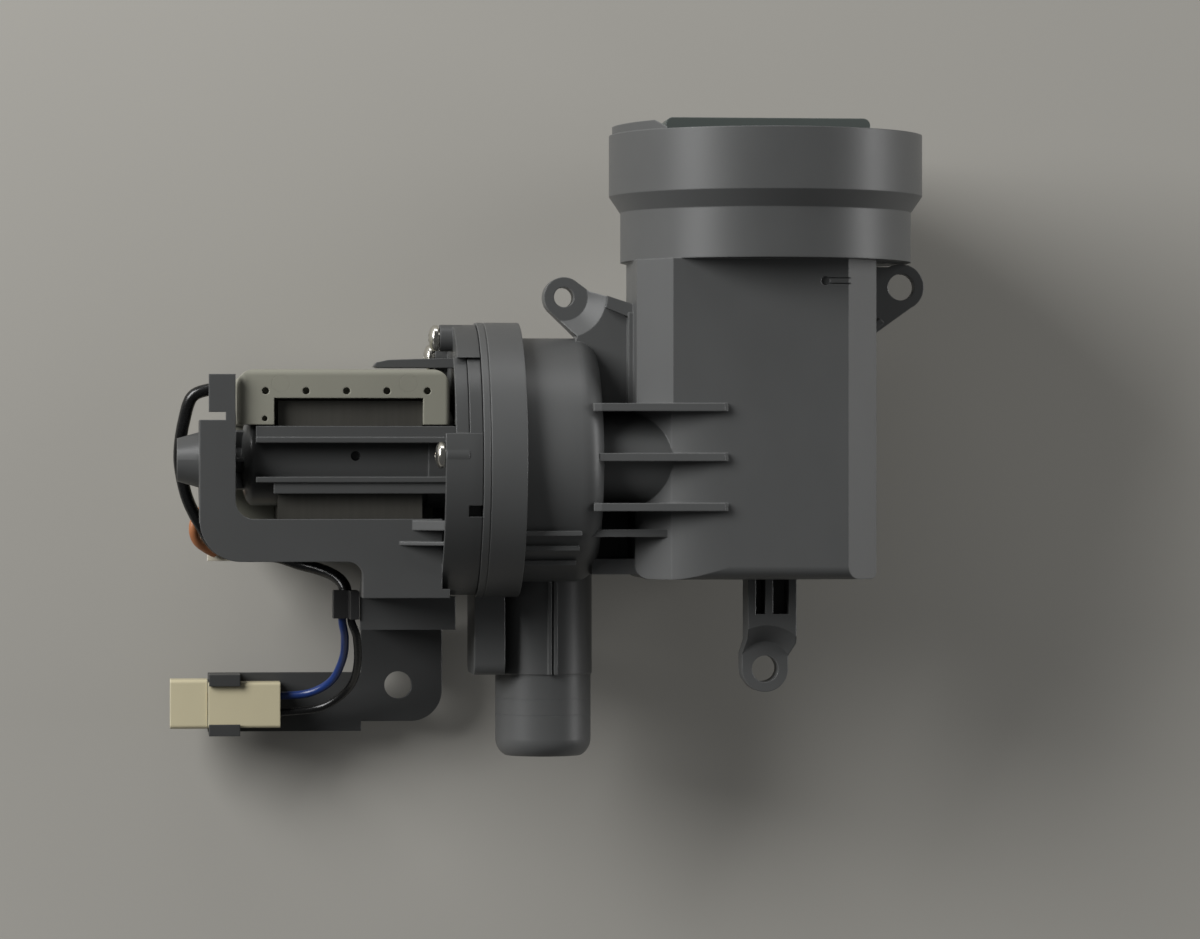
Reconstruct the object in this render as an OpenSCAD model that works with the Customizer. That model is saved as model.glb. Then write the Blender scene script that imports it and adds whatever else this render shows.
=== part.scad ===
// Washer drain pump with a lift-out lint filter, lying as it stands on its tub inlet.
// X runs from the motor to the filter chamber, Y from the outlet to the filter mouth, Z up.
// The origin is the centre of the tub inlet's rim.

/* [Stance] */
// Height of the pump axis and the filter axis above the inlet rim
axis_h = 52; // [51:0.5:56]
// General wall of the mouldings
wall = 2.5; // [2:0.1:3]

/* [Filter chamber] */
// Width of the chamber across X
chamber_w = 64.8; // [64:0.2:70]
// Height of the flat face above the axis
face_h = 29.5; // [29:0.5:32]
// Depth of the chamber base below the axis
base_h = 30; // [29:0.5:32]
// Inlet axis to the closed end
chamber_tail = 39.4; // [38:0.2:44]
// Inlet axis to the mouth collar
chamber_head = 46.3; // [44:0.1:52]
// Bevel along both long edges of the flat face
bevel = 8.8; // [6:0.2:10]
// Radius of the long edges of the base
base_round = 24; // [20:0.5:25]

/* [Filter mouth] */
// Filter axis, sideways from the inlet axis
filter_x = 5; // [3:0.5:5]
// Outer diameter of the collar
collar_d = 79.2; // [76:0.2:82]
// Length of the collar
collar_l = 13.4; // [12:0.2:18]
// Length of the cone from collar to ring
cone_l = 4.6; // [3:0.2:7]
// Outer diameter of the mouth ring
ring_d = 85.4; // [84:0.2:92]
// Length of the mouth ring
ring_l = 16.5; // [15:0.5:22]
// Bore that the filter plug seals in
throat_d = 50.4; // [50:0.2:52]
// Bore that the cap turns in
recess_d = 61.6; // [58:0.2:64]

/* [Tub inlet] */
// Outer diameter of the inlet spigot
inlet_d = 58; // [54:0.5:60]
// Bore of the inlet spigot
inlet_bore_d = 52; // [46:0.5:53]
// Plain length that the tub hose covers
inlet_plain = 16; // [12:0.5:17]

/* [Volute] */
// Pump axis, behind the inlet axis
pump_back = 7.4; // [6:0.2:9]
// Gap between the chamber and the volute drum
drum_gap = 9.4; // [8:0.2:12]
// Length of the volute drum
drum_l = 21.1; // [20:0.1:26]
// Outer diameter of the volute drum
drum_d = 66; // [64:0.5:68]
// Radius of the drum's rounded shoulder
drum_round = 6; // [4:0.5:8]
// Outer diameter of the bolted flange
flange_d = 74.4; // [74:0.2:80]
// Thickness of the housing's half of the flange
flange_t = 11.6; // [10:0.2:14]
// Width of the suction neck between volute and chamber
suction_w = 26.6; // [26:0.1:27]
// Height of the neck's arched top above the pump axis
suction_h = 26.2; // [24:0.1:26.4]
// Inlet eye of the volute
eye_d = 20; // [16:0.5:20.5]

/* [Outlet] */
// Outer diameter of the outlet spigot
outlet_d = 26.2; // [24:0.2:28]
// Bore of the outlet spigot
outlet_bore_d = 21; // [18:0.2:22]
// Outlet axis below the pump axis
outlet_drop = 14; // [12:0.5:16]
// Outlet axis, from the drum's end face
outlet_inset = 12.9; // [12:0.1:14]
// Pump axis to the end of the spigot
outlet_reach = 81.5; // [74:0.5:95]
// Length of the tapered nose
outlet_nose = 5.2; // [3:0.2:8]

/* [Fixing lugs] */
// Hole of the side and end lugs
lug_hole_d = 7.2; // [6:0.1:7.6]
// Hole of the lug beside the motor
front_hole_d = 5.4; // [5:0.1:6.6]
// Rim around each lug hole
lug_rim = 2.7; // [2.2:0.1:4]
// Thickness of the two heavy lugs
lug_t = 8; // [6:0.5:10]
// Thickness of the side lug
side_lug_t = 3.8; // [3:0.2:5]

/* [Impeller and rotor] */
// Impeller diameter
impeller_d = 42; // [36:0.5:46]
// Number of vanes
vanes = 6; // [4:1:8]
// Shaft diameter
shaft_d = 4; // [3:0.1:5]
// Running clearance of the shaft, all round
shaft_fit = 0.05; // [0.02:0.01:0.08]
// Magnet diameter
magnet_d = 21.2; // [19:0.1:21.4]
// Outer diameter of the rotor barrel
barrel_d = 24.6; // [24.2:0.1:25.4]
// Wall of the rotor barrel
barrel_wall = 1.1; // [0.9:0.05:1.2]
// Length of the barrel behind the cover
barrel_l = 59.4; // [59:0.2:64]

/* [Cover joint] */
// Thickness of the cover disc
cover_t = 3.4; // [3:0.1:4]
// Radius of the circle of cover screws
screw_circle = 33.2; // [32.8:0.1:33.4]
// Screw shank diameter
screw_d = 3.6; // [3.2:0.1:3.7]
// Screw head diameter
screw_head_d = 7; // [6.4:0.1:7.2]
// Seal cord diameter
seal_d = 2.1; // [1.8:0.1:2.2]

/* [Motor frame] */
// Depth of the frame's flange wall
frame_flange_t = 6.2; // [5.6:0.2:8]
// Height of the frame's top plate above the axis
frame_top = 20; // [19.5:0.5:22]
// Thickness of the frame's plates
frame_plate = 2.4; // [2:0.1:2.8]
// Width of the end plate
frame_end_w = 9.5; // [8:0.5:9.8]
// Width of the long arm
frame_arm_w = 11.4; // [10:0.2:12]
// Length of the rear boss
boss_l = 5.9; // [5:0.1:8]

/* [Stator] */
// Length of the lamination stack
core_l = 38.6; // [38:0.2:41]
// Width of the U-shaped core
core_w = 31.6; // [31:0.2:33]
// Height of the pole tips above the axis
pole_h = 14; // [13:0.2:14.6]
// Width of the opening between the pole tips
pole_gap = 12.4; // [11:0.2:14]
// Width of the slot between the legs
leg_gap = 12; // [11:0.2:14]
// Thickness of the yoke
yoke_t = 10; // [8:0.2:11]
// Length of the coil case
case_l = 56.8; // [55:0.2:58]
// Width of the coil case
case_w = 48.4; // [47:0.2:49]
// Height of the coil case above the axis
case_h = 17; // [16.4:0.1:17.2]

/* [Connector bracket] */
// Height of the bracket's upper face
bracket_h = 10; // [8:0.5:14]
// Thickness of the bracket
bracket_t = 2.2; // [1.8:0.1:3]
// Fixing hole in the bracket
bracket_hole_d = 7.6; // [6:0.1:8.4]
// Width of the plug
plug_w = 12.6; // [12:0.1:13]
// Height of the plug
plug_h = 10; // [8:0.5:12]
// Diameter of the sleeve round the leads
sleeve_d = 3.4; // [3:0.1:4]
// Diameter of one lead
lead_d = 2.2; // [1.6:0.1:2.2]

/* [Hidden] */
$fn = 72;

plastic = [0.36, 0.37, 0.375];
dark_plastic = [0.25, 0.26, 0.26];
eps = 0.01;
// Gap between pieces that sit on each other, and between pieces that slide
seat = 0.2;
slip = 0.4;

pump_y = -pump_back;
half_w = chamber_w / 2;
base_z = axis_h - base_h;
face_z = axis_h + face_h;
drum_end = -half_w - drum_gap;
flange_x = drum_end - drum_l;
seam_x = flange_x - flange_t;
cover_x = seam_x - seat;
frame_x = cover_x - cover_t - seat;
frame_back = frame_x - frame_flange_t;
outlet_x = drum_end - outlet_inset;
outlet_z = axis_h - outlet_drop;
outlet_end = pump_y - outlet_reach;
drum_wall = wall;

collar_y = chamber_head;
cone_y = collar_y + collar_l;
ring_y = cone_y + cone_l;
rim_y = ring_y + ring_l;
tail_y = -chamber_tail;

// Webs over the suction neck
web_t = 2.1;
web_first = 14;
web_pitch = 13.3;
web_proud = 1.8;
web_reach = 23.6;

// Prisms drawn as a section and swept between two planes
module slab_x(x0, x1) translate([x0, 0, 0]) rotate([90, 0, 90]) linear_extrude(x1 - x0) children();
module slab_y(y0, y1) translate([0, y1, 0]) rotate([90, 0, 0]) linear_extrude(y1 - y0) children();
module slab_z(z0, z1) translate([0, 0, z0]) linear_extrude(z1 - z0) children();
// Solids turned about the pump axis and about the filter axis
module pump_turned() translate([0, pump_y, axis_h]) rotate([0, 90, 0]) rotate_extrude() children();
module filter_turned() translate([filter_x, 0, axis_h]) rotate([-90, 0, 0]) rotate_extrude() children();
module tube_x(x0, x1, d) translate([x0, pump_y, axis_h]) rotate([0, 90, 0]) cylinder(d = d, h = x1 - x0);
module tube_y(y0, y1, d) translate([filter_x, y0, axis_h]) rotate([-90, 0, 0]) cylinder(d = d, h = y1 - y0);
module band(r0, r1, a0, a1) translate([r0, a0]) square([r1 - r0, a1 - a0]);
module box(x0, x1, y0, y1, z0, z1) translate([x0, y0, z0]) cube([x1 - x0, y1 - y0, z1 - z0]);
// A rectangle with its own radius at each corner, from low left round to high left
module corner_rect(x0, x1, y0, y1, r) {
    difference() {
        translate([x0, y0]) square([x1 - x0, y1 - y0]);
        corner_bite(x0, y0, 1, 1, r[0]);
        corner_bite(x1, y0, -1, 1, r[1]);
        corner_bite(x1, y1, -1, -1, r[2]);
        corner_bite(x0, y1, 1, -1, r[3]);
    }
}
module corner_bite(x, y, sx, sy, r) {
    if (r > 0) difference() {
        translate([x - (sx < 0 ? r : 1), y - (sy < 0 ? r : 1)]) square(r + 1);
        translate([x + sx * r, y + sy * r]) circle(r);
    }
}
// Cover screws, placed clear of the coil case
screw_angles = [2, 82, 122, 244, 288];
module at_screws(x) {
    for (a = screw_angles)
        translate([x, pump_y + screw_circle * sin(a), axis_h + screw_circle * cos(a)])
            rotate([0, 90, 0]) children();
}

// Section of the chamber across X, grown inwards by t
module chamber_section(t) {
    w = half_w - t;
    top = face_z - t;
    b = bevel - t * (2 - sqrt(2));
    r = base_round - t;
    difference() {
        corner_rect(-w, w, base_z + t, top, [r, r, 0, 0]);
        polygon([[w - b, top + 1], [w + 1, top + 1], [w + 1, top - b], [w, top - b], [w - b, top]]);
        polygon([[b - w, top + 1], [-w - 1, top + 1], [-w - 1, top - b], [-w, top - b], [b - w, top]]);
    }
}
// The face falls gently from the webs' ends to the bevel, grown inwards by t
fall_drop = 3.6;
fall_l = web_reach + 0.4 - bevel;
fall_r = (fall_l * fall_l + fall_drop * fall_drop) / (2 * fall_drop);
fall_x = web_reach + 0.4 - half_w;
fall_end = pump_y + web_first - web_t / 2;
module fall(t) {
    low = face_z - fall_drop - bevel - 10;
    sum = bevel - half_w - face_z + fall_drop + t * sqrt(2);
    slab_y(tail_y - 1, fall_end + t) difference() {
        translate([-half_w - 2, low]) square([fall_x + half_w + 2, face_z - low + 1]);
        intersection() {
            translate([fall_x, face_z - fall_r]) circle(fall_r - t, $fn = 180);
            polygon([[-half_w - 3, low - 1], [fall_x + 3, low - 1], [fall_x + 3, fall_x + 3 - sum],
                [-half_w - 3, -half_w - 3 - sum]]);
        }
    }
}
edge_round = 3.4;
corner_round = 3.6;
module chamber_outer() {
    difference() {
        intersection() {
            slab_y(tail_y, collar_y + eps) chamber_section(0);
            slab_x(-half_w - 1, half_w + 1)
                corner_rect(tail_y, collar_y + 2, base_z - 1, face_z, [0, 0, 0, edge_round]);
            slab_z(base_z - 1, face_z + 1)
                corner_rect(-half_w, half_w, tail_y, collar_y + 2, [corner_round, edge_round / 2, 0, 0]);
        }
        fall(0);
    }
}
module chamber_cavity() {
    difference() {
        intersection() {
            slab_y(tail_y + wall, collar_y - wall) chamber_section(wall);
            slab_z(base_z, face_z)
                corner_rect(wall - half_w, half_w - wall, tail_y + wall, collar_y, [corner_round - wall, 0, 0, 0]);
        }
        fall(wall);
    }
}

// Mouth: skirted collar, cone and ring around the tube that takes the cap
tube_r = recess_d / 2 + wall;
neck_r = throat_d / 2 + wall;
step_y = ring_y + 1.2;
module mouth_outer() {
    filter_turned() {
        difference() {
            polygon([[0, collar_y - wall], [neck_r, collar_y - wall], [neck_r, collar_y],
                [collar_d / 2, collar_y], [collar_d / 2, cone_y], [ring_d / 2, ring_y],
                [ring_d / 2, rim_y], [0, rim_y]]);
            // Hollow behind the collar
            band(neck_r, collar_d / 2 - wall, collar_y + wall, cone_y - 0.6);
            // Groove in front, between the ring and the cap tube
            band(tube_r, ring_d / 2 - wall, step_y, rim_y + 1);
            band(0, tube_r, rim_y - 1.8, rim_y + 1);
        }
    }
    // Ribs across the front groove
    for (a = [22.5 : 45 : 359])
        translate([filter_x, 0, axis_h]) rotate([0, a, 0])
            box(tube_r - 0.5, ring_d / 2 - 0.5, step_y - 0.5, rim_y - 5, -wall * 0.35, wall * 0.35);
    rim_latch();
}
// Ramp on the rim that the cabinet grommet clips behind
latch_h = 2.5;
module rim_latch() {
    intersection() {
        filter_turned() band(ring_d / 2 - wall, ring_d / 2 - 0.7, rim_y - 1, rim_y + latch_h);
        slab_z(axis_h, axis_h + 40)
            translate([filter_x - ring_d / 2, rim_y])
                polygon([[0, -1], [12.6, -1], [12.6, 0.5], [9.6, latch_h], [0.6, latch_h - 0.2], [0, latch_h - 0.8]]);
    }
}
module mouth_cavity() {
    tube_y(collar_y - 2 * wall, step_y + 1, throat_d);
    tube_y(step_y, rim_y + 1, recess_d);
    // Lead-in that the plug's seal slides over
    translate([filter_x, step_y - 1.2, axis_h]) rotate([-90, 0, 0])
        cylinder(d1 = throat_d, d2 = throat_d + 2.6, h = 1.3);
}

// Tub inlet, standing on the surface
inlet_stop_t = 3;
module inlet_outer() {
    cylinder(d = inlet_d, h = axis_h - base_round / 2);
    translate([0, 0, inlet_plain]) cylinder(d = inlet_d + 4, h = inlet_stop_t);
}
module inlet_bore() {
    translate([0, 0, -1]) cylinder(d = inlet_bore_d, h = axis_h - base_h + base_round * 0.6 + 1);
}

// Suction neck between the chamber and the volute
suction_root = bevel - half_w + 2.6;
module suction_section(t) {
    r = suction_w / 2 - t;
    corner_rect(pump_y - r, pump_y + r, axis_h - r, axis_h + suction_h - t, [r, r, r, r]);
}
module suction_outer() slab_x(drum_end - eps, suction_root) suction_section(0);
module suction_cavity() slab_x(drum_end, suction_root - 0.6) suction_section(wall);

// Volute: drum with a rounded shoulder, flange, neck and tangential outlet
module drum_profile(d, x0, x1, r) {
    difference() {
        translate([0, x0]) square([d / 2, x1 - x0]);
        if (r > 0) difference() {
            translate([d / 2 - r, x1 - r]) square(r + 1);
            translate([d / 2 - r, x1 - r]) circle(r);
        }
    }
}
module volute_outer() {
    pump_turned() {
        drum_profile(drum_d, flange_x - 1, drum_end, drum_round);
        difference() {
            band(0, flange_d / 2, seam_x, flange_x);
            band(flange_d / 2 - 0.2, flange_d, seam_x + 1.8, seam_x + 2.1);
        }
    }
    // Flange around the start of the outlet
    slab_x(seam_x, seam_x + neck_flange_t)
        corner_rect(neck_end, pump_y, outlet_z - neck_w / 2, outlet_z + neck_w / 2, [3, 0, 0, 3]);
    outlet_outer();
    drum_ribs();
}
neck_flange_t = outlet_x - outlet_d / 2 + 1.6 - seam_x;
neck_w = outlet_d + 3;
neck_end = pump_y - 58.4;
seal_r = screw_circle - screw_d / 2 - seal_d / 2 - 1.2;
module volute_cavity() {
    pump_turned() {
        band(0, seal_r - seal_d / 2 - 1, seam_x - 1, flange_x);
        drum_profile(drum_d - 2 * drum_wall, flange_x - eps, drum_end - drum_wall, drum_round - drum_wall);
        // Groove for the cover seal
        band(seal_r - seal_d / 2 - 0.15, seal_r + seal_d / 2 + 0.15, seam_x - 1, seam_x + seal_d - seat);
    }
    tube_x(drum_end - drum_wall - 1, drum_end + 1, eye_d);
}
module outlet_outer() {
    translate([outlet_x, outlet_end, outlet_z]) rotate([-90, 0, 0]) rotate_extrude()
        corner_rect(0, outlet_d / 2, 0, outlet_reach - 8, [0, outlet_nose, 0, 0]);
    // Slightly thicker root that stops the hose
    translate([outlet_x, neck_end, outlet_z]) rotate([-90, 0, 0])
        cylinder(d = outlet_d + 0.6, h = pump_y - neck_end - 9);
    // Web from the neck flange to the spigot
    box(seam_x + 1, outlet_x, neck_end + 3, pump_y - 20, outlet_z - 1.2, outlet_z + 1.2);
    // Double rib on the spigot's crest
    for (dx = [0, 1.6])
        box(outlet_x + 0.2 + dx, outlet_x + 1.2 + dx, neck_end, pump_y - 24,
            outlet_z, outlet_z + outlet_d / 2 + 1.4);
}
module outlet_bore() {
    translate([outlet_x, outlet_end - 1, outlet_z]) rotate([-90, 0, 0])
        cylinder(d = outlet_bore_d, h = outlet_reach + 1 - 4);
}
// Three short ribs on the drum beside the outlet
drum_rib_pitch = 4;
drum_rib_t = 1.2;
module drum_ribs() {
    for (i = [0 : 2]) let (dy = 19.6 + i * drum_rib_pitch, h = sqrt(pow(drum_d / 2, 2) - dy * dy))
        box(flange_x - 1, drum_end - 6 - i * 0.4, pump_y - dy - drum_rib_t / 2, pump_y - dy + drum_rib_t / 2,
            axis_h + h - 4, axis_h + h + 1.9);
}

// Webs that tie the volute drum to the chamber over the suction neck
module webs() {
    for (i = [0 : 2]) let (y = pump_y + web_first - i * web_pitch)
        slab_y(y - web_t / 2, y + web_t / 2)
            polygon([[drum_end - 3, axis_h + 6], [drum_end - 3, face_z + web_proud - 0.6],
                [drum_end - 1, face_z + web_proud], [web_reach - half_w - 1, face_z + web_proud],
                [web_reach - half_w + 0.4, face_z - 1], [wall - half_w, face_z - bevel - 8],
                [wall - half_w, axis_h + 6]]);
    // Short web and the thick foot below it
    slab_y(pump_y - 20.6, pump_y - 18.6)
        polygon([[drum_end - 3, axis_h + 6], [drum_end - 3, axis_h + 25], [bevel - half_w, axis_h + 25],
            [bevel - half_w, axis_h + 6]]);
    box(drum_end - 2, wall - half_w, tail_y + 1.2, tail_y + 5.4, axis_h - 6, axis_h + 15);
    box(drum_end - 2, wall - half_w, tail_y + 1.3, pump_y - suction_w / 2 + wall, axis_h - 5.9, axis_h - 3.4);
}

// Lugs
lug_z = axis_h;
front_lug = [-half_w - 18.1, chamber_head - 9.6];
side_lug = [half_w + 9.7, chamber_head - 6.5];
end_lug = [4.4, tail_y - 24.8];
front_rim = front_hole_d / 2 + lug_rim;
side_rim = lug_hole_d / 2 + lug_rim;
arm_h = 8;
end_arm_w = 2 * side_rim + 0.6;
module lug_arms() {
    // Bridge between drum and chamber that carries the front lug
    slab_z(lug_z - lug_t / 2, lug_z + arm_h)
        polygon([front_lug + front_rim * [-0.64, -0.77], front_lug + front_rim * [0.5, 0.866],
            [-half_w + 1, chamber_head - 17], [-half_w + 1, pump_y + web_first], [drum_end - 2, pump_y + web_first],
            [drum_end - 8, pump_y + drum_d / 2 - 6], [drum_end - 5.4, pump_y + drum_d / 2 + 0.4]]);
    // Rib along its upper edge, and the pad beside the chamber
    slab_z(lug_z, lug_z + arm_h + 3)
        polygon([front_lug + [6.7, 1.6], front_lug + [8.8, -2.2], [-half_w + 1, chamber_head - 16],
            [-half_w + 1, chamber_head - 12]]);
    box(-half_w - 1.3, -half_w + 1, pump_y + web_first, chamber_head - 14, lug_z, lug_z + arm_h + 4);
    // Arm of the end lug: three ribs on a web, and a pad
    slab_z(lug_z - lug_t / 2, lug_z + arm_h) {
        polygon([end_lug + [-side_rim, 0], end_lug + [-side_rim, 4], end_lug + [1.2 - side_rim, 8],
            end_lug + [1.2 - side_rim, 15], end_lug + [side_rim + 1.8, 15], end_lug + [side_rim + 1.8, 7],
            end_lug + [side_rim, 3.4], end_lug + [side_rim, 0]]);
        for (x = [1.2 - side_rim, -0.4, side_rim - 0.3])
            translate(end_lug + [x, 8]) square([2.1, 18]);
    }
    slab_z(lug_z - lug_t / 2, lug_z - lug_t / 2 + wall)
        translate(end_lug + [1.2 - side_rim, 8]) square([end_arm_w, 18]);
}
// Cone around a lug hole that clears the screw and its driver
module lug_clearance(at, r) {
    translate([at[0], at[1], lug_z + lug_t / 2]) cylinder(r1 = r + 1.1, r2 = r + 5.7, h = arm_h - lug_t / 2 + eps);
    translate([at[0], at[1], lug_z + arm_h]) cylinder(r = r + 5.7, h = 10);
}
module lugs() {
    difference() {
        lug_arms();
        lug_clearance(front_lug, front_rim);
        lug_clearance(end_lug, side_rim);
    }
    slab_z(lug_z - lug_t / 2, lug_z + lug_t / 2) {
        translate(front_lug) circle(front_rim);
        translate(end_lug) circle(side_rim);
    }
    // Thin side lug with a rib along its sloping edge
    slab_z(lug_z - side_lug_t / 2, lug_z + side_lug_t / 2) {
        translate(side_lug) circle(side_rim);
        polygon([side_lug + side_rim * [0.707, -0.707], [half_w - 1, chamber_head - 21.8],
            [half_w - 1, chamber_head - 1], side_lug + side_rim * [-0.5, 0.866]]);
    }
    slab_z(lug_z - lug_t / 2, lug_z + lug_t / 2)
        polygon([[half_w - 1, chamber_head - 21.8], [half_w - 1, chamber_head - 20], [half_w + 3.6, chamber_head - 15],
            [half_w + 4.9, chamber_head - 16.3]]);
}
module lug_bores() {
    slab_z(lug_z - lug_t, lug_z + lug_t) {
        translate(front_lug) circle(d = front_hole_d);
        translate(side_lug) circle(d = lug_hole_d);
        translate(end_lug) circle(d = lug_hole_d);
    }
}
// Moulded slot and pin mark in the flat face
mark_w = 1.9;
module face_mark() {
    slab_z(face_z - 0.7, face_z + 1) {
        translate([half_w - 15, collar_y - 5.9]) circle(1.2);
        for (dy = [-mark_w / 2, mark_w / 2 - 0.4])
            translate([half_w - 15, collar_y - 5.9 + dy]) square([13.4, 0.4]);
    }
}
module pump_housing() {
    color(plastic) difference() {
        union() {
            chamber_outer();
            mouth_outer();
            inlet_outer();
            suction_outer();
            volute_outer();
            webs();
            lugs();
        }
        chamber_cavity();
        mouth_cavity();
        inlet_bore();
        suction_cavity();
        volute_cavity();
        outlet_bore();
        lug_bores();
        face_mark();
        at_screws(seam_x - 1) cylinder(d = screw_d + 0.2, h = flange_t - 1.4);
    }
}

// Cord of rubber in the flange groove
module cover_seal() {
    color([0.08, 0.08, 0.08]) pump_turned()
        translate([seal_r, seam_x + seal_d / 2 - seat]) circle(seal_d / 2 - 0.02);
}

// Cover disc and wet barrel in one moulding, with two keys for the pole tips
barrel_r = barrel_d / 2;
disc_r = flange_d / 2 - 1.6;
barrel_back = cover_x - cover_t - barrel_l;
bore_r = barrel_r - barrel_wall;
bush_d = 10;
bush_l = 5.6;
plug_t = bush_l + 1.4;
key_t = 1.4;
key_reach = 2.8;
key_h = 4;
key_x0 = barrel_back + 3.5;
nose_d = 8;
core_x1 = frame_back - 5;
core_x0 = core_x1 - core_l;
notch_dy = 13.6;
module rotor_cover() {
    color(plastic) difference() {
        union() {
            tube_x(cover_x - cover_t, cover_x, 2 * disc_r);
            pump_turned() barrel_profile();
            tube_x(frame_back - 3.2, cover_x - 1, barrel_d + 1.4);
            barrel_keys();
            nose_fins();
        }
        tube_x(barrel_back + plug_t, cover_x + 1, 2 * bore_r);
        tube_x(barrel_back + plug_t - bush_l, cover_x, bush_d);
        at_screws(cover_x - cover_t - 1) cylinder(d = screw_d + 0.4, h = cover_t + 2);
        // The notch in the frame's skirt goes on through the disc's rim
        box(cover_x - cover_t - 1, cover_x + 1, pump_y - notch_dy - 1.45, pump_y - notch_dy + 1.45,
            axis_h + disc_r - 6, axis_h + disc_r);
        // Pin mark on the crest of the barrel
        translate([barrel_back + 30.2, pump_y + 1, axis_h + barrel_r - 0.8]) cylinder(d = 2.2, h = 2);
    }
}
barrel_round = 3;
barrel_dome = 7.4;
module barrel_profile() {
    difference() {
        translate([0, barrel_back]) square([barrel_r, barrel_l + 1]);
        difference() {
            translate([barrel_r - barrel_dome, barrel_back - 1]) square([barrel_dome + 1, barrel_round + 1]);
            translate([barrel_r - barrel_dome, barrel_back + barrel_round]) scale([barrel_dome / barrel_round, 1])
                circle(barrel_round);
        }
    }
    // Nose that the frame's rear boss holds
    translate([0, barrel_back - nose_l]) square([nose_d / 2, nose_l + 1]);
}
// Fins between the nose and the rounded end
fin_r = 9;
module nose_fins() {
    for (a = [0 : 60 : 300])
        translate([0, pump_y, axis_h]) rotate([a, 0, 0])
            box(barrel_back - 1.6, barrel_back + barrel_round, -0.5, 0.5, 0, fin_r);
}
nose_l = 13.4;
module barrel_keys() {
    for (s = [-1, 1]) {
        // Thin wall through the gap between the pole tips
        intersection() {
            slab_x(key_x0, cover_x - cover_t + eps)
                translate([pump_y, axis_h]) scale([s, 1])
                    polygon([[pole_gap / 2 - seat - key_t, 6], [pole_gap / 2 - seat - key_t, pole_h + key_h],
                        [pole_gap / 2 - seat, pole_h + key_h], [pole_gap / 2 - seat, 6]]);
            pump_turned() band(barrel_r - 0.6, barrel_r + 12, key_x0 - 1, cover_x);
        }
        // Strap that lies over the pole tip, longer on the case's side
        slab_x(s > 0 ? key_x0 : core_x0 - 1.2, cover_x - cover_t + eps)
            translate([pump_y, axis_h]) scale([s, 1])
                polygon([[pole_gap / 2 - seat - eps, pole_h + slip], [pole_gap / 2 - seat - eps, pole_h + key_h - 0.8],
                    [pole_gap / 2 + key_reach, pole_h + key_h - 0.8], [pole_gap / 2 + key_reach, pole_h + slip]]);
    }
}

// Frame that carries the stator: flange wall, end plate, long arm and rear boss
frame_end = barrel_back - 2;
frame_x0 = frame_end - frame_end_w;
plate_z = axis_h + frame_top;
case_y0 = pump_y - case_w / 2;
case_y1 = pump_y + case_w / 2;
arm_y0 = case_y0 - 3;
arm_y1 = arm_y0 + frame_arm_w;
well_r = 5;
frame_corner = 11;
frame_r = flange_d / 2 - 0.6;
foot_x0 = frame_back - 21.2;
foot_y = arm_y0 - 9.7;
ledge_z = axis_h + 4;
ledge_y = foot_y - 9;
end_wall_t = 2.6;
bracket_screw_x = [foot_x0 + 8, foot_x0 + 18];
module frame_plan() {
    difference() {
        union() {
            corner_rect(frame_x0, frame_end, arm_y0, pump_y + 10.6, [frame_corner, 0, 0, 0]);
            translate([frame_x0 + 1, arm_y0]) corner_rect(0, frame_back - frame_x0 - 1 + eps, 0, frame_arm_w,
                [frame_corner - 1, 0, 0, 0]);
            // Foot of the arm, towards the connector
            corner_rect(foot_x0, frame_back + eps, foot_y, arm_y0 + eps, [0, 0, 0, 0]);
            // Tab over the coil terminals
            translate([frame_x0 + 2.4, pump_y + 12.7]) square([frame_end_w - 2.4, 10.1]);
            translate([frame_x0 + 6.9, pump_y + 10]) square([frame_end_w - 6.9, 4]);
        }
    }
    // Fillets of the inner corners
    difference() {
        translate([frame_end - eps, arm_y1 - eps]) square(well_r);
        translate([frame_end + well_r, arm_y1 + well_r]) circle(well_r);
    }
    difference() {
        translate([foot_x0 - 4, arm_y0 - 4]) square(4 + eps);
        translate([foot_x0 - 4, arm_y0 - 4]) circle(4);
    }
}
module frame_flange() {
    // Wall round the flange, open beside the coil case
    difference() {
        tube_x(frame_back, frame_x, 2 * frame_r);
        tube_x(frame_back - 1, frame_x - wall, 2 * frame_r - 2 * wall);
        slab_x(frame_back - 1, frame_x - wall) translate([pump_y, axis_h])
            polygon([[7, 0], [7, 60], [60, 60], [60, -8], [20, -8]]);
        frame_opening();
    }
    at_screws(frame_back + 0.2) cylinder(d = screw_head_d + 0.2, h = frame_flange_t - 0.2);
    // Skirt round the cover disc, with its locating notch
    difference() {
        tube_x(frame_x - 0.5, cover_x, 2 * frame_r);
        tube_x(frame_x, cover_x + 1, 2 * (disc_r + seat));
        box(cover_x - cover_t - seat, cover_x + 1, pump_y - notch_dy - 1.45, pump_y - notch_dy + 1.45,
            axis_h + 20, axis_h + flange_d / 2);
        frame_opening();
    }
    // Rib along the inner edge of the opening
    difference() {
        intersection() {
            tube_x(frame_x - 3.4, frame_x, 2 * (disc_r - 0.6));
            slab_x(frame_x - 4, frame_x + 1) translate([pump_y, axis_h])
                polygon([[6.8, 20.5], [6.8, 60], [27.4, 60], [27.4, 7.8], [20, 7.8]]);
        }
        tube_x(frame_x - 4, frame_x + 1, 2 * (disc_r - 1.8));
    }
}
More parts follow.
